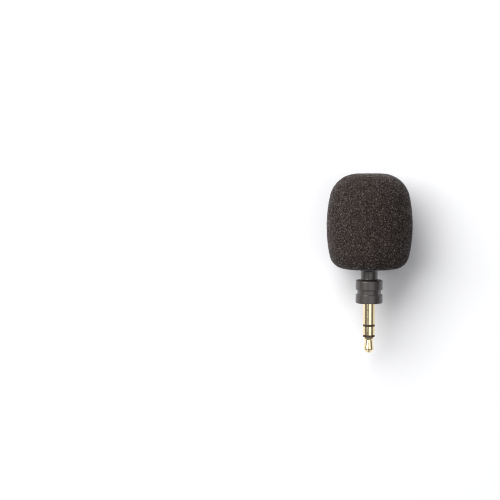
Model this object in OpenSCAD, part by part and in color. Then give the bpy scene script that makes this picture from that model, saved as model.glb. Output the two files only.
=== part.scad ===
// Miniature plug-in microphone: a 3.5 mm three-pole plug, a grooved collar, a narrow neck, an electret
// capsule in a turned head, and a foam windscreen that slides over the head.
// The axis of the microphone lies along Y. The plug's shoulder is at y = 0, the plug points to -Y and
// the windscreen to +Y. +Z is up when the microphone lies on its side.

/* [Plug] */
// Diameter of the three contacts
plug_d = 3.5; // [3.4:0.05:3.6]
// Length from the shoulder to the end of the tip
plug_len = 14.7; // [14.5:0.1:15.5]
// Middle of the insulator between sleeve and ring, from the shoulder
ring_split = 6.57; // [6.4:0.01:7]
// Middle of the insulator between ring and tip, from the shoulder
tip_split = 9.7; // [9.5:0.01:10.2]
// Width of each insulator where it shows
insulator_w = 0.5; // [0.4:0.05:0.6]
// Diameter of the tip's waist, where the jack's spring catches
tip_waist_d = 2.25; // [2:0.05:2.4]
// Largest diameter of the tip's bulb
tip_bulb_d = 2.95; // [2.7:0.05:3.1]
// Diameter of the rod that joins the tip to its lug
rod_d = 1; // [0.9:0.05:1]

/* [Collar] */
// Diameter of the two bands
collar_d = 7.9; // [7.5:0.1:8]
// Length of the collar
collar_len = 6.8; // [6.4:0.1:7]
// Length of the band beside the plug
lower_band = 2.6; // [2.4:0.05:2.8]
// Width of the groove between the bands
groove_w = 1.3; // [1:0.05:1.4]
// Diameter at the bottom of the groove
groove_d = 6.9; // [6.5:0.1:7]
// Diameter of the cavity that holds the terminals
cavity_d = 6; // [6:0.05:6.1]
// Thickness of the wall that the plug passes through
end_wall = 0.8; // [0.6:0.1:0.9]

/* [Head] */
// Diameter of the neck
neck_d = 4.9; // [4.6:0.1:5.4]
// Diameter of the wire passage through the neck
passage_d = 3; // [2.8:0.1:3.2]
// Diameter of the head
head_d = 8; // [7.8:0.05:8.1]
// Start of the cone that widens the neck into the head, from the shoulder
flare_base = 9.2; // [9:0.1:10]
// Start of the head's straight side, from the shoulder
head_base = 12.5; // [12:0.1:13]
// End of the head's tube, where the grille cap starts
tube_end = 25.7; // [25.4:0.1:26]
// Thickness of the grille cap's plate
cap_t = 0.8; // [0.6:0.1:1]
// Diameter of each sound hole
hole_d = 0.8; // [0.6:0.1:0.9]
// Distance between the rows of sound holes
hole_pitch = 1.25; // [1.15:0.05:1.28]

/* [Capsule] */
// Diameter of the electret capsule
capsule_d = 6; // [5.9:0.05:6]
// Length of the electret capsule
capsule_len = 5.2; // [5.2:0.1:5.4]
// Thickness of the capsule can's wall
can_wall = 0.25; // [0.2:0.05:0.25]
// Depth of the capsule's sound port below the end of the head's tube
capsule_depth = 1.2; // [1.2:0.1:1.4]

/* [Windscreen] */
// Largest diameter of the foam
foam_d = 24.8; // [24:0.1:26]
// Length of the foam
foam_len = 27.5; // [27:0.1:29]
// Start of the foam, from the shoulder
foam_base = 10.25; // [9:0.05:10.5]
// Widest place of the foam, from the shoulder
foam_waist = 22.6; // [21:0.1:24]
// Radius of the barrel-shaped side
foam_side_r = 41; // [35:1:60]
// Radius of the corner at the mouth
foam_mouth_r = 4.4; // [3.5:0.1:5]
// Radius of the shoulder at the closed end
foam_top_r = 8.1; // [7:0.1:9]
// Diameter of the hole that takes the head
foam_bore_d = 8.5; // [8.4:0.1:8.8]

/* [Hidden] */
$fn = 72;

// How far a cutting solid runs past the face that it opens
cut = 0.1;

// Plug: radii of the nested tubes, from the axis outwards
plug_r = plug_d / 2;
rod_r = rod_d / 2;
ring_bore_r = rod_r + 0.3;
ring_tube_r = ring_bore_r + 0.35;
sleeve_bore_r = ring_tube_r + 0.25;
root_r = plug_r + 0.25;
flange_r = cavity_d / 2 - 0.05;
// Plug: stations along Y
sleeve_y = -ring_split + insulator_w / 2;
ring_y1 = -ring_split - insulator_w / 2;
ring_y0 = -tip_split + insulator_w / 2;
tip_y = -tip_split - insulator_w / 2;
bulb_y = -plug_len + 1.2;
edge = 0.07;
land_r = plug_r - 0.15;

// Terminals: stations along Y, from the sleeve's flange up
flange_y0 = end_wall;
flange_y1 = flange_y0 + 0.5;
ring_lug_y0 = flange_y1 + 0.4;
ring_lug_y1 = ring_lug_y0 + 0.25;
tip_lug_y0 = ring_lug_y1 + 0.4;
tip_lug_y1 = tip_lug_y0 + 0.25;
rivet_y = tip_lug_y1 + 0.3;
tab_y = end_wall + 2.8;
washer_r = 2.15;
ring_lug_r = 1.5;
tip_lug_r = 1.45;
// Terminals: each ends in an upright tab at this radius, with this thickness and width
tab_r = 2.25;
tab_t = 0.25;
tab_w = 0.9;
// Angles of the tabs round the axis, from +X towards +Z
sleeve_a = 0;
ring_a = 120;
tip_a = 240;

// Wires
wire_r = 0.25;
bend_swell = 0.02;
link_r = 0.2;
link_path_r = 2.72;
signal_r = 0.7;
ground_r = 1.1;
wire_tab_r = tab_r - wire_r - 0.05;
wire_end_y = tab_y - 0.75;
solder_y = tab_y - 0.45;

// Head
neck_r = neck_d / 2;
passage_r = passage_d / 2;
head_r = head_d / 2;
cup_r = head_r - 0.6;
cup_y = head_base + 1.2;
neck_foot_y = collar_len - 1.9;
spigot_r = cup_r - 0.35;
spigot_y = tube_end - 0.8;
cap_y = tube_end + cap_t;
mesh_t = 0.2;
felt_r = capsule_d / 2 - 0.2;
felt_t = 0.3;

// Capsule: stations along Y, from the sound port down to the rear crimp
capsule_r = capsule_d / 2;
port_y = tube_end - capsule_depth;
capsule_y = port_y - capsule_len;
crimp_y = capsule_y + 0.2;
board_y = crimp_y + 0.7;
can_bore_r = capsule_r - can_wall;
ring_top_y = port_y - 0.3;
ring_t = 0.4;
ring_w = 0.45;
film_t = 0.05;
film_y = ring_top_y - ring_t - film_t;
spacer_t = 0.1;
spacer_w = 0.3;
spacer_y = film_y - spacer_t;
backplate_t = 0.3;
backplate_y = spacer_y - backplate_t;
backplate_r = can_bore_r - 0.15;
contact_r = can_bore_r - 0.55;
contact_wall = 0.3;

// Foam: centres of the corner arcs, which touch the side arc from inside
foam_r = foam_d / 2;
foam_end = foam_base + foam_len;
side_x = foam_r - foam_side_r;
mouth_y = foam_base + foam_mouth_r;
mouth_x = side_x + sqrt(pow(foam_side_r - foam_mouth_r, 2) - pow(mouth_y - foam_waist, 2));
top_y = foam_end - foam_top_r;
top_x = side_x + sqrt(pow(foam_side_r - foam_top_r, 2) - pow(top_y - foam_waist, 2));
mouth_a = atan2(mouth_y - foam_waist, mouth_x - side_x);
top_a = atan2(top_y - foam_waist, top_x - side_x);
bore_end = cap_y + 0.4;

// ---------------------------------------------------------------- shapes

// Lays children that stand on the XY plane along +Y, starting at y.
module along_y(y = 0) {
    translate([0, y, 0]) rotate([-90, 0, 0]) children();
}

// Turns children that lie on +X round the axis, to an angle from +X towards +Z.
module at_angle(a) {
    rotate([0, -a, 0]) children();
}

module bar(r, y0, y1) {
    along_y(y0) cylinder(r = r, h = y1 - y0);
}

module tube(r_out, r_in, y0, y1) {
    difference() {
        bar(r_out, y0, y1);
        bar(r_in, y0 - cut, y1 + cut);
    }
}

// A solid turned on a lathe, from points [radius, y].
module turned(points) {
    along_y() rotate_extrude() polygon(points);
}

// Points along an arc, both ends included.
function arc(x, y, r, a0, a1, steps) = [
    for (i = [0:steps])
        let (a = a0 + (a1 - a0) * i / steps) [x + r * cos(a), y + r * sin(a)]
];

// A point at a radius and an angle round the axis.
function polar(r, a, y) = [r * cos(a), y, r * sin(a)];

// A round wire through a list of points, with a slightly fuller ball at each bend.
module wire(points, r) {
    for (i = [1:len(points) - 1]) {
        run = points[i] - points[i - 1];
        translate(points[i - 1])
            rotate([0, acos(run.z / norm(run)), atan2(run.y, run.x)])
                cylinder(r = r, h = norm(run), $fn = 24);
    }
    for (i = [1:len(points) - 2])
        translate(points[i]) rotate([90, 0, 0]) sphere(r = r + bend_swell, $fn = 24);
}

// The upright tab at the end of a terminal, from y0 to the common height.
module tab(a, y0) {
    at_angle(a) translate([tab_r, y0, -tab_w / 2]) cube([tab_t, tab_y - y0, tab_w]);
}

// A ring-shaped terminal with an arm that bends up into its tab.
module lug(hole_r, rim_r, a, y0, y1) {
    difference() {
        union() {
            bar(rim_r, y0, y1);
            at_angle(a) translate([0, y0, -tab_w / 2]) cube([tab_r + tab_t, y1 - y0, tab_w]);
            tab(a, y0);
        }
        bar(hole_r, y0 - cut, y1 + cut);
    }
}

// ---------------------------------------------------------------- windscreen

module foam_windscreen() {
    color("#3b3735")
        difference() {
            turned(concat(
                [[0, foam_base]],
                arc(mouth_x, mouth_y, foam_mouth_r, -90, mouth_a, 10),
                arc(side_x, foam_waist, foam_side_r, mouth_a, top_a, 12),
                arc(top_x, top_y, foam_top_r, top_a, 90, 12),
                [[0, foam_end]]
            ));
            bar(foam_bore_d / 2, foam_base - cut, bore_end);
        }
}

// ---------------------------------------------------------------- head

module grille_cap() {
    bevel = 0.35;
    color("#232325")
        difference() {
            turned([
                [0, tube_end], [spigot_r, tube_end], [spigot_r, spigot_y], [cup_r, spigot_y],
                [cup_r, tube_end], [head_r, tube_end], [head_r, cap_y - bevel],
                [head_r - bevel, cap_y], [0, cap_y]
            ]);
            sound_holes();
        }
}

// A hexagonal field of holes: one in the middle, then rings of six and twelve.
module sound_holes() {
    rows = 2;
    for (i = [-rows:rows], j = [-rows:rows])
        if (abs(i + j) <= rows)
            translate([hole_pitch * (i + j / 2), 0, hole_pitch * j * sin(60)])
                bar(hole_d / 2, tube_end - cut, cap_y + cut);
}

module grille_mesh() {
    color("#6f7175") bar(spigot_r, tube_end - mesh_t, tube_end);
}

module dust_felt() {
    color("#17171a") bar(felt_r, port_y, port_y + felt_t);
}

module head_housing() {
    fillet = 0.45;
    color("#2c2c2e")
        turned(concat(
            [
                [passage_r, neck_foot_y], [cavity_d / 2, neck_foot_y],
                [cavity_d / 2, collar_len]
            ],
            arc(neck_r + fillet, collar_len + fillet, fillet, -90, -180, 6),
            [
                [neck_r, flare_base], [head_r, head_base], [head_r, tube_end],
                [cup_r, tube_end], [cup_r, cup_y], [passage_r, cup_y]
            ]
        ));
}

// ---------------------------------------------------------------- collar

module collar() {
    r = collar_d / 2;
    groove_r = groove_d / 2;
    upper_y = lower_band + groove_w;
    brim = 0.45;
    edge_r = 0.2;
    color("#333335")
        turned(concat(
            [[root_r, 0]],
            arc(r - edge_r, edge_r, edge_r, -90, 0, 4),
            arc(r - edge_r, lower_band - edge_r, edge_r, 0, 90, 4),
            [[groove_r, lower_band], [groove_r, upper_y]],
            arc(r - edge_r, upper_y + edge_r, edge_r, -90, 0, 4),
            arc(r - brim, collar_len - brim, brim, 0, 90, 6),
            [[cavity_d / 2, collar_len], [cavity_d / 2, end_wall], [root_r, end_wall]]
        ));
}

// ---------------------------------------------------------------- plug

module sleeve_contact() {
    color("#c9a65a") {
        turned([
            [sleeve_bore_r, sleeve_y], [plug_r - edge, sleeve_y], [plug_r, sleeve_y + edge],
            [plug_r, 0], [root_r, 0], [root_r, flange_y0], [flange_r, flange_y0],
            [flange_r, flange_y1], [sleeve_bore_r, flange_y1]
        ]);
        tab(sleeve_a, flange_y1);
    }
}

module ring_insulator() {
    color("#1c1a19")
        turned([
            [ring_tube_r, ring_y1], [plug_r, ring_y1], [plug_r, sleeve_y],
            [sleeve_bore_r, sleeve_y], [sleeve_bore_r, flange_y1], [ring_tube_r, flange_y1]
        ]);
}

module ring_contact() {
    color("#c9a65a")
        turned([
            [ring_bore_r, ring_y0], [plug_r - edge, ring_y0], [plug_r, ring_y0 + edge],
            [plug_r, ring_y1 - edge], [plug_r - edge, ring_y1], [ring_tube_r, ring_y1],
            [ring_tube_r, ring_lug_y1], [ring_bore_r, ring_lug_y1]
        ]);
}

module tip_insulator() {
    color("#1c1a19")
        turned([
            [rod_r, tip_y], [plug_r, tip_y], [plug_r, ring_y0], [ring_bore_r, ring_y0],
            [ring_bore_r, tip_lug_y0], [rod_r, tip_lug_y0]
        ]);
}

// A land beside the insulator, a waist, a bulb and a rounded nose, with the rod and its rivet behind.
module tip_contact() {
    waist_r = tip_waist_d / 2;
    bulb_r = tip_bulb_d / 2;
    land = 0.55;
    land_slope = 0.25;
    waist_len = 0.2;
    waist_start = tip_y - land - land_slope;
    waist_end = waist_start - waist_len;
    nose_r = 0.55;
    nose_flat = 0.35;
    bulb_edge_r = 0.5;
    // The straight flank between nose and bulb leaves the nose and meets the bulb at this angle
    flank_a = -38;
    bulb_end_a = 12;
    rivet_r = 0.85;
    rivet_edge = 0.15;
    color("#c9a65a")
        turned(concat(
            [[0, -plug_len]],
            arc(nose_flat, -plug_len + nose_r, nose_r, -90, flank_a, 4),
            arc(bulb_r - bulb_edge_r, bulb_y, bulb_edge_r, flank_a, bulb_end_a, 4),
            [
                [waist_r, waist_end], [waist_r, waist_start], [land_r - edge, tip_y - land],
                [land_r, tip_y - edge], [land_r - edge, tip_y], [rod_r, tip_y],
                [rod_r, tip_lug_y1], [rivet_r, tip_lug_y1], [rivet_r, rivet_y - rivet_edge],
                [rivet_r - rivet_edge, rivet_y], [0, rivet_y]
            ]
        ));
}

// ---------------------------------------------------------------- terminals

module flange_washer() {
    color("#8a5a3a") tube(washer_r, ring_tube_r, flange_y1, ring_lug_y0);
}

module ring_lug() {
    color("#b9b4a6") lug(ring_tube_r, ring_lug_r, ring_a, ring_lug_y0, ring_lug_y1);
}

module lug_washer() {
    color("#8a5a3a") tube(washer_r, ring_bore_r, ring_lug_y1, tip_lug_y0);
}

module tip_lug() {
    color("#b9b4a6") lug(rod_r, tip_lug_r, tip_a, tip_lug_y0, tip_lug_y1);
}

// ---------------------------------------------------------------- wires

// A wire runs up its terminal's tab, slants into the neck's passage and ends on the capsule's board.
module lead(a, r) {
    wire([
        polar(wire_tab_r, a, wire_end_y), polar(wire_tab_r, a, tab_y), polar(r, a, neck_foot_y),
        polar(r, a, crimp_y)
    ], wire_r);
}

module signal_wire() {
    color("#a33a2c") lead(tip_a, signal_r);
}

module ground_wire() {
    color("#2a2a2a") lead(sleeve_a, ground_r);
}

// Part of a ring round the axis, as thick as the circle given as its child, overrun degrees past
// both of the tabs that it joins.
module hoop(from, to, overrun) {
    along_y(solder_y)
        rotate([0, 0, -to - overrun])
            rotate_extrude(angle = to - from + 2 * overrun)
                translate([link_path_r, 0]) children();
}

// A bare link joins the ring's and the tip's tabs, so that one capsule feeds both channels.
module link_wire() {
    overrun = 8;
    color("#c7c7c2") hoop(ring_a, tip_a, overrun) circle(r = link_r, $fn = 24);
}

// Six joints: a drop on each wire's tab, a bead round the link at each of its tabs, and a cone on
// each pad of the board.
module solder_joints() {
    color("#c3c4c6") {
        tab_drop(tip_a);
        tab_drop(sleeve_a);
        link_bead(ring_a);
        link_bead(tip_a);
        pad_cone(signal_r, tip_a);
        pad_cone(ground_r, sleeve_a);
    }
}

module tab_drop(a) {
    drop_r = 0.42;
    difference() {
        at_angle(a) translate([wire_tab_r, solder_y, 0])
            rotate([0, 180, 0]) sphere(r = drop_r, $fn = 24);
        at_angle(a) translate([wire_tab_r, 0, 0]) bar(wire_r, wire_end_y, tab_y);
        tab(a, flange_y1);
    }
}

module link_bead(a) {
    bead_r = link_r + 0.07;
    half_length = 5;
    difference() {
        hoop(a, a, half_length)
            difference() {
                circle(r = bead_r, $fn = 24);
                circle(r = link_r, $fn = 24);
            }
        tab(a, flange_y1);
    }
}

module pad_cone(r, a) {
    cone_h = 0.5;
    foot_r = 0.5;
    top_r = 0.3;
    at_angle(a) translate([r, 0, 0])
        difference() {
            along_y(crimp_y - cone_h) cylinder(r1 = top_r, r2 = foot_r, h = cone_h, $fn = 24);
            bar(wire_r, crimp_y - cone_h - cut, crimp_y + cut);
        }
}

// ---------------------------------------------------------------- capsule

module capsule_boot() {
    lip_r = capsule_r - 0.45;
    lip_y = capsule_y - 0.4;
    color("#1b1b1d")
        turned([
            [lip_r, lip_y], [cup_r, lip_y], [cup_r, spigot_y], [capsule_r, spigot_y],
            [capsule_r, capsule_y], [lip_r, capsule_y]
        ]);
}

module capsule_can() {
    port_r = 0.75;
    crimp_r = can_bore_r - 0.35;
    rim = 0.15;
    color("#b8babd")
        turned([
            [port_r, ring_top_y], [can_bore_r, ring_top_y], [can_bore_r, crimp_y],
            [crimp_r, crimp_y], [crimp_r, capsule_y], [capsule_r, capsule_y],
            [capsule_r, port_y - rim], [capsule_r - rim, port_y], [port_r, port_y]
        ]);
}

module diaphragm_ring() {
    color("#c9a65a") tube(can_bore_r, can_bore_r - ring_w, ring_top_y - ring_t, ring_top_y);
}

module diaphragm() {
    color("#d9c27a") bar(can_bore_r, film_y, film_y + film_t);
}

module spacer_ring() {
    color("#e6e2d8") tube(can_bore_r, can_bore_r - spacer_w, spacer_y, film_y);
}

module backplate() {
    vents = 6;
    vent_r = 0.25;
    vent_ring_r = 1.4;
    color("#c2a15c")
        difference() {
            bar(backplate_r, backplate_y, spacer_y);
            for (i = [0:vents - 1])
                at_angle(i * 360 / vents) translate([vent_ring_r, 0, 0])
                    bar(vent_r, backplate_y - cut, spacer_y + cut);
        }
}

// A plastic cup wall that carries the backplate and keeps it clear of the can.
module backplate_holder() {
    color("#3d5a78")
        turned([
            [contact_r, board_y], [can_bore_r, board_y], [can_bore_r, spacer_y],
            [backplate_r, spacer_y], [backplate_r, backplate_y], [contact_r, backplate_y]
        ]);
}

module contact_ring() {
    color("#c9a65a") tube(contact_r, contact_r - contact_wall, board_y, backplate_y);
}

module capsule_board() {
    color("#2f6b46") bar(can_bore_r, crimp_y, board_y);
}

// A box that stands on the board, with its middle at x. Its size is [width, height, depth].
module on_board(x, size) {
    translate([x - size.x / 2, board_y, -size.z / 2]) cube(size);
}

module jfet() {
    package = [1.3, 0.75, 1.6];
    color("#1a1a1a") on_board(0, package);
}

module filter_capacitors() {
    chip = [0.5, 0.5, 1];
    from_axis = 1.15;
    color("#a5825c")
        for (side = [-1, 1])
            on_board(side * from_axis, chip);
}

foam_windscreen();
grille_cap();
grille_mesh();
dust_felt();
head_housing();
collar();
capsule_boot();
capsule_can();
diaphragm_ring();
diaphragm();
spacer_ring();
backplate();
backplate_holder();
contact_ring();
capsule_board();
jfet();
filter_capacitors();
sleeve_contact();
ring_insulator();
ring_contact();
tip_insulator();
tip_contact();
flange_washer();
ring_lug();
lug_washer();
tip_lug();
signal_wire();
ground_wire();
link_wire();
solder_joints();
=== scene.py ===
"""Looks for a miniature plug-in microphone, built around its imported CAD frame.

The microphone lies on a pale table with its axis along Y. The foam windscreen and the woven disc
behind the grille are made here. The other pieces keep their CAD shapes and get their finishes
here. All sizes are in metres.
"""

import math

import bpy
import numpy as np
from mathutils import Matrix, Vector


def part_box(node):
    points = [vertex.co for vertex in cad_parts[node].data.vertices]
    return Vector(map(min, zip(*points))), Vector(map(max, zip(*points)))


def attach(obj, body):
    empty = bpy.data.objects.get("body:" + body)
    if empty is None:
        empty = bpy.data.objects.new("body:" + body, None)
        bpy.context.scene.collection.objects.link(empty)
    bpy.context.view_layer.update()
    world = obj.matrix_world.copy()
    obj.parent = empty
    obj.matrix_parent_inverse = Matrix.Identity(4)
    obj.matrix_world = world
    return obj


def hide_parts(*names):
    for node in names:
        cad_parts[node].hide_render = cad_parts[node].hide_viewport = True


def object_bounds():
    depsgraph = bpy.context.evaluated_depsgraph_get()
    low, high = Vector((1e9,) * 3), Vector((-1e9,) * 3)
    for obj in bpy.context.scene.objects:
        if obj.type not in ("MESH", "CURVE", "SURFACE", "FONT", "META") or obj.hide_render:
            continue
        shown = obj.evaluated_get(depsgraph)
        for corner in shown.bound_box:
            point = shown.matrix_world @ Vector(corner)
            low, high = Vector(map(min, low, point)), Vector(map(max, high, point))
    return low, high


MM = 0.001
SEED = 20

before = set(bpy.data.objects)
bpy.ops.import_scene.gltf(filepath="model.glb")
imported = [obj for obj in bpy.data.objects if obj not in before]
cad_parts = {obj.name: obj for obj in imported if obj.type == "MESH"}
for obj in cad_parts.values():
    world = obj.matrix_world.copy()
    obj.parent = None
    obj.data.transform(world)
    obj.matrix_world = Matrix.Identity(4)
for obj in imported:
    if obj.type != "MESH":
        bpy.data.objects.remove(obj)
cad_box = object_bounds()


# ---------------------------------------------------------------- node helpers

class Nodes:
    """A new material's node tree, with short calls for the nodes that the finishes share."""

    def __init__(self, name):
        self.material = bpy.data.materials.new(name)
        self.material.use_nodes = True
        self.tree = self.material.node_tree
        self.shader = self.tree.nodes["Principled BSDF"]
        self.coords = self.tree.nodes.new("ShaderNodeTexCoord").outputs["Object"]

    def add(self, kind, **settings):
        node = self.tree.nodes.new("ShaderNode" + kind)
        for name, value in settings.items():
            setattr(node, name, value)
        return node

    def put(self, socket, value):
        """Sets a socket to a number or colour, or links an output to it."""
        if isinstance(value, bpy.types.NodeSocket):
            self.tree.links.new(value, socket)
        else:
            socket.default_value = value

    def set(self, **values):
        """Sets the shader's sockets, named with underscores for spaces."""
        for name, value in values.items():
            self.put(self.shader.inputs[name.replace("_", " ")], value)
        return self

    def scaled(self, factors):
        """Object coordinates, scaled by one number for each axis."""
        mapping = self.add("Mapping")
        self.put(mapping.inputs["Vector"], self.coords)
        mapping.inputs["Scale"].default_value = factors
        return mapping.outputs["Vector"]

    def noise(self, period, detail=3.0, stretch=(1, 1, 1)):
        """Noise whose features repeat about every period metres."""
        node = self.add("TexNoise")
        self.put(node.inputs["Vector"], self.scaled(tuple(s / period for s in stretch)))
        node.inputs["Scale"].default_value = 1.0
        node.inputs["Detail"].default_value = detail
        return node.outputs["Fac"]

    def voronoi(self, period, **settings):
        """A node that splits space into cells about period metres apart."""
        node = self.add("TexVoronoi", **settings)
        self.put(node.inputs["Vector"], self.scaled((1 / period,) * 3))
        node.inputs["Scale"].default_value = 1.0
        return node

    def cells(self, period, feature="F1", randomness=1.0):
        """Distance to the middle of the nearest cell, or to its edge, as the feature says."""
        node = self.voronoi(period, feature=feature)
        node.inputs["Randomness"].default_value = randomness
        return node.outputs["Distance"]

    def patches(self, period):
        """A random number from 0 to 1 for each cell."""
        parts = self.add("SeparateColor")
        self.put(parts.inputs["Color"], self.voronoi(period).outputs["Color"])
        return parts.outputs["Red"]

    def attribute(self, name):
        """A number that the mesh holds for each point."""
        return self.add("Attribute", attribute_name=name).outputs["Fac"]

    def math(self, operation, a, b=0.0, clamp=False):
        node = self.add("Math", operation=operation, use_clamp=clamp)
        self.put(node.inputs[0], a)
        self.put(node.inputs[1], b)
        return node.outputs[0]

    def ranged(self, value, low, high, to_low=0.0, to_high=1.0):
        """Maps low to to_low and high to to_high, and holds still outside them."""
        node = self.add("MapRange")
        for socket, number in zip(node.inputs, (value, low, high, to_low, to_high)):
            self.put(socket, number)
        return node.outputs["Result"]

    def mix_value(self, factor, first, second):
        """Blends two numbers or outputs."""
        node = self.add("Mix", data_type="FLOAT")
        for number, value in ((0, factor), (2, first), (3, second)):
            self.put(node.inputs[number], value)
        return node.outputs[0]

    def mix(self, factor, first, second):
        """Blends two colours, each a tuple of three numbers or an output."""
        node = self.add("Mix", data_type="RGBA")
        self.put(node.inputs["Factor"], factor)
        for socket, colour in ((node.inputs[6], first), (node.inputs[7], second)):
            self.put(socket, (*colour, 1.0) if isinstance(colour, tuple) else colour)
        return node.outputs[2]

    def bump(self, height, depth, strength=1.0, rounding=None):
        """Sets the shader's normal from a height of 0 to 1 that stands for depth metres.

        With a rounding radius, the light also falls on the edges as if they were rounded.
        """
        node = self.add("Bump")
        if rounding:
            bevel = self.add("Bevel", samples=6)
            bevel.inputs["Radius"].default_value = rounding
            self.put(node.inputs["Normal"], bevel.outputs["Normal"])
        self.put(node.inputs["Height"], height)
        node.inputs["Distance"].default_value = depth
        node.inputs["Strength"].default_value = strength
        self.put(self.shader.inputs["Normal"], node.outputs["Normal"])
        return self

    def edges(self, radius):
        """About 1 on edges sharper than the radius, and 0 on open faces."""
        bevel = self.add("Bevel", samples=4)
        bevel.inputs["Radius"].default_value = radius
        flat = self.add("NewGeometry").outputs["Normal"]
        open_face, sharp = 0.995, 0.93  # cosines of the angle between the two normals
        dot = self.add("VectorMath", operation="DOT_PRODUCT")
        self.put(dot.inputs[0], bevel.outputs["Normal"])
        self.put(dot.inputs[1], flat)
        return self.ranged(dot.outputs["Value"], open_face, sharp)


# ---------------------------------------------------------------- finishes

def foam_finish():
    """Open-cell foam, dull: painted shade darkens the pores between the struts, and painted glints
    light up a few specks and cut ends.
    """
    pore, glint_dot, glint_speck = 0.30 * MM, 0.44 * MM, 0.19 * MM  # spacing
    darkest = 0.030
    m = Nodes("open_cell_foam")
    strut = m.attribute("strut")
    glint = m.attribute("glint")
    mottle = m.noise(4 * MM, detail=2.0)
    # painted shade: the web is 1 on the struts and falls towards each pore's middle; it darkens
    # the colour there, and the bump also uses it as real relief
    web = m.ranged(m.cells(pore, "DISTANCE_TO_EDGE"), 0.20, 0.03, 0.15, 1.0)
    # painted glints: bright dots in some cells and a few bright specks lighten the colour, as if
    # light caught on strut tops; lit adds them up
    glint_dots = m.ranged(m.cells(glint_dot, randomness=0.75), 0.42, 0.10)
    glint_dots = m.math("MULTIPLY", m.math("POWER", glint_dots, 2.0), 0.70)
    ends = m.math("MULTIPLY", m.math("POWER", m.patches(glint_speck), 3.5), 0.50)
    lit = m.math("ADD", m.math("ADD", ends, darkest), glint_dots)
    # painted shade and painted glints: dark is the foam's colour in shade, light is the same foam
    # where a glint is painted
    dark = m.mix(mottle, (0.0032, 0.0016, 0.0011), (0.0060, 0.0032, 0.0023))
    light = m.mix(mottle, (0.245, 0.186, 0.165), (0.305, 0.234, 0.207))
    # painted shade: relief is low in the pores, of the web and of the mesh, and darkens the colour
    # there
    web = m.math("MULTIPLY", web, m.ranged(strut, 0.0, 1.0, 0.55, 1.0))
    relief = m.math("ADD", web, m.math("MULTIPLY", strut, 0.12))
    shade = m.math("MULTIPLY", relief, lit, clamp=True)
    body = m.mix(shade, dark, light)
    # painted glints: the sticks' glint number paints them towards a bright colour, as highlights
    m.set(Base_Color=m.mix(m.math("MULTIPLY", glint, 0.75), body, (0.41, 0.345, 0.32)))
    m.set(Roughness=0.75, Specular_IOR_Level=0.2)
    m.set(Sheen_Weight=0.45, Sheen_Roughness=0.2, Sheen_Tint=(1.0, 0.95, 0.93, 1.0))
    return m.bump(web, 0.07 * MM, 0.7).material


def anodised_finish():
    """Satin black anodised aluminium, turned: fine grain, faint lathe lines, and edges lighter
    from rubbed wear and a painted highlight.
    """
    m = Nodes("black_anodised")
    grain = m.noise(0.09 * MM, detail=2.0)
    lathe = m.noise(0.05 * MM, detail=1.0, stretch=(0.02, 1.0, 0.02))
    cloud = m.noise(2.2 * MM, detail=3.0)
    # partly rubbed wear, partly a painted highlight: sharp edges get a lighter colour and a lower
    # roughness
    edge_wear_and_highlight = m.math("MULTIPLY", m.edges(0.10 * MM), m.ranged(m.noise(0.6 * MM), 0.35, 0.6))
    body = m.mix(cloud, (0.020, 0.0140, 0.0105), (0.027, 0.0195, 0.0150))
    m.set(Base_Color=m.mix(m.math("MULTIPLY", edge_wear_and_highlight, 0.5), body, (0.16, 0.145, 0.135)))
    m.set(Specular_IOR_Level=0.75, Coat_Weight=0.6, Coat_Roughness=0.12)
    m.set(Roughness=m.mix_value(edge_wear_and_highlight, m.ranged(grain, 0.3, 0.7, 0.46, 0.56), 0.25))
    height = m.math("ADD", m.math("MULTIPLY", grain, 0.6), m.math("MULTIPLY", lathe, 0.4))
    return m.bump(height, 0.012 * MM, 0.5, rounding=0.04 * MM).material


def gold_finish():
    """Polished gold plate over turned brass, with hairline marks round the axis."""
    m = Nodes("gold_plate")
    lines = m.noise(0.06 * MM, detail=1.0, stretch=(0.03, 1.0, 0.03))
    smudge = m.noise(1.6 * MM, detail=4.0)
    m.set(Base_Color=m.mix(smudge, (0.95, 0.77, 0.46), (0.98, 0.82, 0.53)), Metallic=1.0)
    m.set(Roughness=m.ranged(smudge, 0.3, 0.7, 0.13, 0.20))
    return m.bump(lines, 0.004 * MM, 0.35).material


def moulded_finish(name, dark, light, roughness, grain=0.25 * MM, metallic=0.0,
                   depth=0.01 * MM):
    """A plain part's finish: a cloud in its colour, a fine grain in its gloss and relief."""
    cloud = 7  # times the grain
    m = Nodes(name)
    fine = m.noise(grain, detail=3.0)
    m.set(Base_Color=m.mix(m.noise(grain * cloud, detail=3.0), dark, light), Metallic=metallic)
    m.set(Roughness=m.ranged(fine, 0.3, 0.7, roughness * 0.85, roughness * 1.15))
    return m.bump(fine, depth, 0.4).material


def woven_finish():
    """Stainless wire: bright, with dull patches from the weaving."""
    m = Nodes("steel_wire")
    smudge = m.noise(0.3 * MM, detail=2.0)
    m.set(Base_Color=m.mix(smudge, (0.42, 0.43, 0.45), (0.62, 0.63, 0.65)), Metallic=1.0)
    return m.set(Roughness=m.ranged(smudge, 0.3, 0.7, 0.25, 0.45)).material


def table_finish():
    """A seamless white sweep with a barely visible tooth."""
    m = Nodes("white_sweep")
    tooth = m.noise(0.8 * MM, detail=3.0)
    m.set(Base_Color=m.mix(tooth, (0.885, 0.885, 0.89), (0.905, 0.905, 0.91)))
    m.set(Roughness=0.75, Specular_IOR_Level=0.25)
    return m.bump(tooth, 0.02 * MM, 0.2).material


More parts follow.
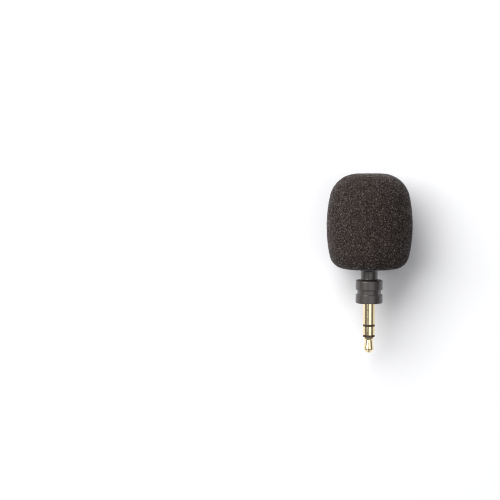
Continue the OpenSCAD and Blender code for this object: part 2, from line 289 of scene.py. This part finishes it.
def finish_cad():
    """Gives each CAD node its material."""
    anodised = anodised_finish()
    gold = gold_finish()
    brass = moulded_finish("stamped_brass", (0.60, 0.44, 0.20), (0.72, 0.56, 0.30), 0.32,
                           metallic=1.0)
    tinned = moulded_finish("tinned_brass", (0.55, 0.54, 0.52), (0.70, 0.69, 0.67), 0.35,
                            metallic=1.0)
    fibre = moulded_finish("pressed_fibre", (0.20, 0.085, 0.04), (0.30, 0.14, 0.07), 0.7)
    ceramic = moulded_finish("chip_ceramic", (0.36, 0.24, 0.14), (0.45, 0.32, 0.20), 0.5)
    black = (0.012, 0.012, 0.012)
    soft_black = (0.028, 0.028, 0.03)
    looks = {
        "collar": anodised,
        "head_housing": anodised,
        "grille_cap": moulded_finish("black_steel", black, (0.024, 0.024, 0.026), 0.4),
        "dust_felt": moulded_finish("black_felt", (0.006, 0.006, 0.007), soft_black, 0.95,
                                    grain=0.12 * MM, depth=0.08 * MM),
        "capsule_boot": moulded_finish("black_rubber", black, soft_black, 0.6),
        "capsule_can": moulded_finish("drawn_aluminium", (0.62, 0.63, 0.64),
                                      (0.76, 0.77, 0.78), 0.3, metallic=1.0),
        "diaphragm_ring": brass,
        "backplate": brass,
        "contact_ring": brass,
        "diaphragm": moulded_finish("metallised_film", (0.74, 0.62, 0.34),
                                    (0.84, 0.74, 0.48), 0.15, metallic=1.0),
        "backplate_holder": moulded_finish("blue_plastic", (0.10, 0.17, 0.26),
                                           (0.15, 0.24, 0.35), 0.5),
        "spacer_ring": moulded_finish("clear_spacer", (0.62, 0.60, 0.55), (0.74, 0.72, 0.67), 0.4),
        "capsule_board": moulded_finish("solder_mask", (0.012, 0.09, 0.04),
                                        (0.02, 0.13, 0.06), 0.3),
        "jfet": moulded_finish("black_package", black, soft_black, 0.55),
        "filter_capacitors": ceramic,
        "sleeve_contact": gold,
        "ring_contact": gold,
        "tip_contact": gold,
        "ring_insulator": moulded_finish("dark_moulding", (0.030, 0.017, 0.009),
                                         (0.042, 0.025, 0.014), 0.35),
        "flange_washer": fibre,
        "lug_washer": fibre,
        "ring_lug": tinned,
        "tip_lug": tinned,
        "link_wire": tinned,
        "signal_wire": moulded_finish("red_insulation", (0.33, 0.03, 0.02),
                                      (0.45, 0.05, 0.03), 0.45),
        "ground_wire": moulded_finish("black_insulation", black, soft_black, 0.45),
        "solder_joints": moulded_finish("bright_solder", (0.52, 0.53, 0.54),
                                        (0.66, 0.67, 0.68), 0.25, metallic=1.0),
        "grille_mesh": woven_finish(),
    }
    looks["tip_insulator"] = looks["ring_insulator"]
    for name, material in looks.items():
        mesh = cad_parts[name].data
        mesh.materials.clear()
        mesh.materials.append(material)


# ---------------------------------------------------------------- new pieces

def smooth_mesh(name, points, faces, material):
    """A smooth-shaded mesh with one material."""
    mesh = bpy.data.meshes.new(name)
    mesh.from_pydata(points, [], faces)
    mesh.polygons.foreach_set("use_smooth", np.ones(len(faces), dtype=bool))
    mesh.materials.append(material)
    return mesh


def place(name, data):
    """Puts a new object that shows the data into the scene."""
    thing = bpy.data.objects.new(name, data)
    bpy.context.scene.collection.objects.link(thing)
    return thing


# ---------------------------------------------------------------- foam windscreen

class Windscreen:
    """The foam's shape: closed at one end, with the head's bore from its mouth at the other."""

    SIDE_R = 41 * MM      # the barrel's side is an arc
    MOUTH_R = 4.4 * MM    # its corner on the mouth's side
    TOP_R = 8.1 * MM      # its corner at the closed end
    WIDEST_SHARE = 0.449  # where it is widest, as a share of its length
    HOLE_R = 4.2 * MM     # the mouth, wider than the head that slides through it
    LIP_R = 0.55 * MM     # the mouth's rounded edge
    THROAT = 2.3 * MM     # from the mouth's face to the bore's straight part
    BORE_GAP = 0.22 * MM  # round the head
    END_GAP = 0.35 * MM   # past the grille cap
    STEP = 0.145 * MM     # between points of the outline

    def __init__(self):
        low, high = (Vector(c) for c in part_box("foam_windscreen"))
        head_low, head_high = (Vector(c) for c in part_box("head_housing"))
        self.r = (high.x - low.x) / 2
        self.y0, self.y1 = low.y, high.y
        self.widest = self.y0 + (self.y1 - self.y0) * self.WIDEST_SHARE
        self.bore_r = (head_high.x - head_low.x) / 2 + self.BORE_GAP
        self.bore_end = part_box("grille_cap")[1][1] + self.END_GAP
        self.bore_start = self.y0 + self.THROAT

    def corner(self, radius, y):
        """Centre of a corner arc that touches the side arc from inside, and where it touches."""
        side_x = self.r - self.SIDE_R
        x = side_x + math.sqrt((self.SIDE_R - radius) ** 2 - (y - self.widest) ** 2)
        return x, math.atan2(y - self.widest, x - side_x)

    def outline(self):
        """Points [radius, y] from the closed end, over the side and the mouth, into the bore."""
        top_y = self.y1 - self.TOP_R
        mouth_y = self.y0 + self.MOUTH_R
        top_x, top_a = self.corner(self.TOP_R, top_y)
        mouth_x, mouth_a = self.corner(self.MOUTH_R, mouth_y)
        quarter = math.pi / 2
        points = [(0.0, self.y1)]
        points += arc(top_x, top_y, self.TOP_R, quarter, top_a)
        points += arc(self.r - self.SIDE_R, self.widest, self.SIDE_R, top_a, mouth_a)
        points += arc(mouth_x, mouth_y, self.MOUTH_R, mouth_a, -quarter)
        points += arc(self.HOLE_R + self.LIP_R, self.y0 + self.LIP_R, self.LIP_R,
                      -quarter, -2 * quarter)
        outside = spaced(np.array(points), self.STEP)
        bore = [(self.bore_r, self.bore_start), (self.bore_r, self.bore_end), (0.0, self.bore_end)]
        inside = spaced(np.array([outside[-1], *bore]), 3 * self.STEP)
        return np.concatenate([outside[:-1], inside])


def arc(x, y, r, a0, a1, steps=40):
    """Points on an arc about (x, y), from angle a0 to a1."""
    return [(x + r * math.cos(a), y + r * math.sin(a)) for a in np.linspace(a0, a1, steps)]


def spaced(line, step):
    """The same line, as points at even distances along it."""
    along = np.concatenate([[0], np.cumsum(np.linalg.norm(np.diff(line, axis=0), axis=1))])
    at = np.linspace(0, along[-1], int(along[-1] / step) + 2)
    return np.stack([np.interp(at, along, line[:, k]) for k in (0, 1)], axis=1)


def revolve(outline, step):
    """Points, outward normals and faces of a closed solid turned about Y.

    The number of sides halves towards the axis, so that faces keep about the same size.
    """
    most_sides, fewest_sides = 512, 8
    shortest_side = step * 0.62
    on_axis = step * 0.5
    points, normals, faces, rings = [], [], [], []
    for (r, y), (nr, ny) in zip(outline, outline_normals(outline)):
        sides = most_sides
        while sides > fewest_sides and 2 * math.pi * r / sides < shortest_side:
            sides //= 2
        if r < on_axis:
            sides = 1
        if rings and rings[-1][1] > 1 and sides > 1:
            sides = min(max(sides, rings[-1][1] // 2), rings[-1][1] * 2)
        rings.append((len(points), sides))
        for i in range(sides):
            c, s = (f(2 * math.pi * i / sides) for f in (math.cos, math.sin))
            points.append((r * c, y, r * s))
            normals.append((nr * c, ny, nr * s))
    for (a, n), (b, m) in zip(rings[:-1], rings[1:]):
        faces += band(a, n, b, m)
    return np.array(points), np.array(normals), faces


def outline_normals(outline):
    """Unit normals [radial, y] that point out of a solid whose outline runs from +Y outwards."""
    run = np.gradient(outline, axis=0)
    run /= np.linalg.norm(run, axis=1)[:, None]
    return np.stack([-run[:, 1], run[:, 0]], axis=1)


def band(a, n, b, m):
    """Faces between two rings: n points that start at a, and m points that start at b."""
    if n == 1 and m == 1:
        return []
    if n == 1:
        return [(a, b + (i + 1) % m, b + i) for i in range(m)]
    if m == 1:
        return [(a + i, a + (i + 1) % n, b) for i in range(n)]
    if n == m:
        return [(a + i, a + (i + 1) % n, b + (i + 1) % n, b + i) for i in range(n)]
    if n == 2 * m:
        return [f for i in range(m) for f in (
            (a + 2 * i, a + 2 * i + 1, b + i),
            (a + 2 * i + 1, b + (i + 1) % m, b + i),
            (a + 2 * i + 1, a + (2 * i + 2) % n, b + (i + 1) % m))]
    return [tuple(reversed(f)) for f in band(b, m, a, n)]


def cell_distances(points, period, seed):
    """Distances to the nearest and second nearest of scattered centres about period apart."""
    margin, spread = 0.15, 0.7  # of a centre in its grid cell
    far_off = 9.0
    grid = points / period
    base = np.floor(grid).astype(np.int64)
    nearest = np.full((2, len(points)), far_off)
    for dx in (-1, 0, 1):
        for dy in (-1, 0, 1):
            for dz in (-1, 0, 1):
                cell = base + (dx, dy, dz)
                centre = cell + margin + spread * scatter(cell, seed)
                d = np.linalg.norm(centre - grid, axis=1)
                nearest[1] = np.minimum(nearest[1], np.maximum(nearest[0], d))
                nearest[0] = np.minimum(nearest[0], d)
    return nearest


def scatter(cell, seed):
    """Three numbers from 0 to 1 for each whole-number cell, always the same for a seed."""
    x, y, z = cell.T
    mixed = x * 73856093 ^ y * 19349663 ^ z * 83492791 ^ seed * 2654435761
    out = []
    for k in range(3):
        v = (mixed + k * 374761393) & 0xFFFFFFFF
        v = (v ^ (v >> 15)) * 2246822519 & 0xFFFFFFFF
        v = (v ^ (v >> 13)) * 3266489917 & 0xFFFFFFFF
        out.append(((v ^ (v >> 16)) & 0xFFFFFF) / 0xFFFFFF)
    return np.stack(out, axis=1)


def skin(shape):
    """The foam's pored surface: points, faces, and each point's place from pore 0 to strut 1."""
    pore, small_pore = 0.42 * MM, 0.24 * MM
    pore_wall, small_wall = 0.42, 0.5  # width of the slope beside a strut, in pores
    apart = 7 * MM                     # shift between the two patterns
    depth, small_depth = 0.22 * MM, 0.10 * MM
    level, small_level = 0.62, 0.5     # what lies on the shape's own surface
    near_bore = 0.3 * MM
    bore_relief = 0.02 * MM            # at most, so that the head stays clear
    points, normals, faces = revolve(shape.outline(), shape.STEP)
    near, far = cell_distances(points, pore, SEED)
    wall = np.clip((far - near) / pore_wall, 0, 1)
    strut = 1 - wall * wall * (3 - 2 * wall)
    small_near, small_far = cell_distances(points + apart, small_pore, SEED + 1)
    ragged = 1 - np.clip((small_far - small_near) / small_wall, 0, 1)
    height = (strut - level) * depth + (ragged - small_level) * small_depth
    y = points[:, 1]
    bore = np.hypot(points[:, 0], points[:, 2]) < shape.bore_r + near_bore
    bore &= (y > shape.y0 + 0.8 * shape.LIP_R) & (y < shape.bore_end + near_bore)
    height[bore] = np.minimum(height[bore], bore_relief)
    return points + normals * height[:, None], faces, strut


def cut_struts(shape, count):
    """Short three-sided sticks on the skin, the ends of struts that the cutter left standing.

    Returns their points, faces, and each point's painted glint: how far its stick is painted
    brighter as a highlight.
    """
    rng = np.random.default_rng(SEED)
    line = shape.outline()
    mouth = np.hypot(line[:, 0] - shape.HOLE_R, line[:, 1] - shape.y0)
    line = line[:np.argmin(mouth)]
    normal = outline_normals(line)
    pick = rng.choice(len(line), count, p=line[:, 0] / line[:, 0].sum())
    a = rng.uniform(0, 2 * math.pi, count)
    turn = np.stack([np.cos(a), np.sin(a)], axis=1)

    def around(v):
        return np.stack([v[:, 0] * turn[:, 0], v[:, 1], v[:, 0] * turn[:, 1]], axis=1)

    out = around(normal[pick])
    centre = around(line[pick]) + out * rng.uniform(-0.06, 0.12, (count, 1)) * MM
    along = rng.normal(size=(count, 3))
    upright = np.sum(along * out, axis=1, keepdims=True)
    along -= out * (upright * rng.uniform(0.3, 1.0, (count, 1)))
    along /= np.linalg.norm(along, axis=1, keepdims=True)
    side = np.cross(along, out)
    side /= np.linalg.norm(side, axis=1, keepdims=True)
    third = np.cross(along, side)
    half = rng.uniform(0.10, 0.22, (count, 1)) * MM
    thick = rng.uniform(0.035, 0.06, (count, 1)) * MM
    corners_each = 6
    corners = []
    for end in (-1, 1):
        for k in range(3):
            c, s = (f(2 * math.pi * k / 3) for f in (math.cos, math.sin))
            corners.append(centre + end * half * along + thick * (c * side + s * third))
    points = np.stack(corners, axis=1).reshape(-1, 3)
    faces = []
    for i in range(0, corners_each * count, corners_each):
        faces += [(i, i + 1, i + 2), (i + 5, i + 4, i + 3), (i + 1, i, i + 3, i + 4),
                  (i + 2, i + 1, i + 4, i + 5), (i, i + 2, i + 5, i + 3)]
    # painted glints: how much each stick is painted brighter
    return points, faces, np.repeat(rng.random(count) ** 2, corners_each)


def make_foam():
    """The windscreen: one closed skin with a pore in each cell, and the cut struts on it."""
    strut_count = 11000
    shape = Windscreen()
    points, faces, strut = skin(shape)
    stick_points, stick_faces, glint = cut_struts(shape, strut_count)
    shift = len(points)
    faces += [tuple(v + shift for v in f) for f in stick_faces]
    mesh = smooth_mesh("foam_windscreen_soft", np.concatenate([points, stick_points]).tolist(),
                       faces, foam_finish())
    # painted glints ride on the sticks as the glint number
    values = {"strut": np.concatenate([strut, np.ones(len(glint))]),
              "glint": np.concatenate([np.zeros(shift), glint])}
    for name, value in values.items():
        mesh.attributes.new(name, "FLOAT", "POINT").data.foreach_set("value", value)
    mesh.update()
    foam = place("foam_windscreen_soft", mesh)
    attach(foam, "windscreen")
    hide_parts("foam_windscreen")


# ---------------------------------------------------------------- wire mesh

def wire(centres, across, radius, sides=6):
    """Points and faces of a round wire along a list of centres.

    Across is the level direction at right angles to the wire.
    """
    up = np.array((0, 1, 0))
    points = []
    for centre in centres:
        for k in range(sides):
            c, s = (f(2 * math.pi * k / sides) for f in (math.cos, math.sin))
            points.append(centre + radius * (c * across + s * up))
    faces = [tuple(range(sides)), tuple(range(len(points) - 1, len(points) - 1 - sides, -1))]
    for i in range(0, len(points) - sides, sides):
        for k in range(sides):
            n = (k + 1) % sides
            faces.append((i + k, i + sides + k, i + sides + n, i + n))
    return points, faces


def make_grille_mesh():
    """A plain weave of round wires in two directions, cut to a disc."""
    low, high = (np.array(c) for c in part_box("grille_mesh"))
    middle = (low + high) / 2
    radius = (high[0] - low[0]) / 2
    wire_r = (high[1] - low[1]) / 4  # where wires cross, the disc is two wires thick
    pitch = 0.25 * MM
    steps = 8  # of a wire's centre line, in each pitch
    count = int(radius / pitch)
    points, faces = [], []
    x, y, z = np.eye(3)
    for turn, (along, across) in enumerate(((x, z), (z, -x))):
        for i in range(-count, count + 1):
            half = math.sqrt(radius ** 2 - (i * pitch) ** 2) - wire_r
            centres = [middle + s * along + i * pitch * across
                       + wire_r * math.cos(math.pi * (s / pitch + i + turn)) * y
                       for s in np.linspace(-half, half, int(steps * half / pitch) + 2)]
            strand, strand_faces = wire(centres, across, wire_r)
            faces += [tuple(v + len(points) for v in f) for f in strand_faces]
            points += strand
    mesh = smooth_mesh("grille_mesh_woven", [tuple(p) for p in points], faces, woven_finish())
    weave = place("grille_mesh_woven", mesh)
    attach(weave, "microphone")
    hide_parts("grille_mesh")


# ---------------------------------------------------------------- stage

def make_camera():
    """A long lens, nearly straight above and leaning towards the windscreen.

    The microphone lies in the right half of a square view.
    """
    tilt = math.radians(4.5)
    lens = 100.0
    view_width = 146.2 * MM
    target = Vector((-34.9 * MM, 15.55 * MM, 0))
    data = bpy.data.cameras.new("camera")
    data.lens = lens
    data.sensor_width = 36.0
    data.clip_start = 0.01
    camera = place("camera", data)
    distance = lens / data.sensor_width * view_width
    camera.location = target + distance * Vector((0, math.sin(tilt), math.cos(tilt)))
    camera.rotation_euler = (-tilt, 0, 0)
    bpy.context.scene.camera = camera


def make_floor():
    """A white surface that the windscreen rests on."""
    half = 0.6  # farther out the lamps fade, and a low view would show a dark strip
    z = cad_box[0][2]
    mesh = bpy.data.meshes.new("floor")
    mesh.from_pydata([(-half, -half, z), (half, -half, z), (half, half, z), (-half, half, z)],
                     [], [(0, 1, 2, 3)])
    mesh.materials.append(table_finish())
    floor = place("floor", mesh)


def soft_box(name, azimuth, elevation, size, radiance, distance=1.2):
    """A rectangular lamp that faces the microphone, as bright as the radiance given.

    Azimuth runs from +X towards +Y. The size is its level side and then its other side.
    """
    data = bpy.data.lights.new(name, "AREA")
    data.shape = "RECTANGLE"
    data.size, data.size_y = size
    data.energy = radiance * math.pi * size[0] * size[1]
    lamp = place(name, data)
    a, e = math.radians(azimuth), math.radians(elevation)
    aim = Vector((0, 12 * MM, 0))
    out = Vector((math.cos(e) * math.cos(a), math.cos(e) * math.sin(a), math.sin(e)))
    lamp.location = aim + distance * out
    lamp.rotation_euler = (-out).to_track_quat("-Z", "Y").to_euler()


def make_light():
    """A large key lamp from the upper left, a weak one overhead to the right, and an even sky."""
    soft_box("key", 138, 48, (1.22, 0.87), 6.2)
    soft_box("overhead", 0, 72.5, (0.64, 0.99), 1.3)
    world = bpy.data.worlds.new("studio")
    world.use_nodes = True
    tree = world.node_tree
    sky = tree.nodes["Background"]
    sky.inputs["Color"].default_value = (0.95, 0.97, 1.05, 1)
    sky.inputs["Strength"].default_value = 0.2
    seen = tree.nodes.new("ShaderNodeBackground")
    seen.inputs["Color"].default_value = (1, 1, 1, 1)
    blend = tree.nodes.new("ShaderNodeMixShader")
    path = tree.nodes.new("ShaderNodeLightPath")
    tree.links.new(path.outputs["Is Camera Ray"], blend.inputs["Fac"])
    tree.links.new(sky.outputs[0], blend.inputs[1])
    tree.links.new(seen.outputs[0], blend.inputs[2])
    tree.links.new(blend.outputs[0], tree.nodes["World Output"].inputs["Surface"])
    bpy.context.scene.world = world


def set_view():
    """Plain display colours, and a narrow pixel filter that keeps the foam's grain."""
    scene = bpy.context.scene
    scene.view_settings.view_transform = "Standard"
    scene.view_settings.look = "None"
    scene.cycles.filter_width = 1.0


make_camera()
finish_cad()
make_foam()
make_grille_mesh()
make_floor()
make_light()
set_view()
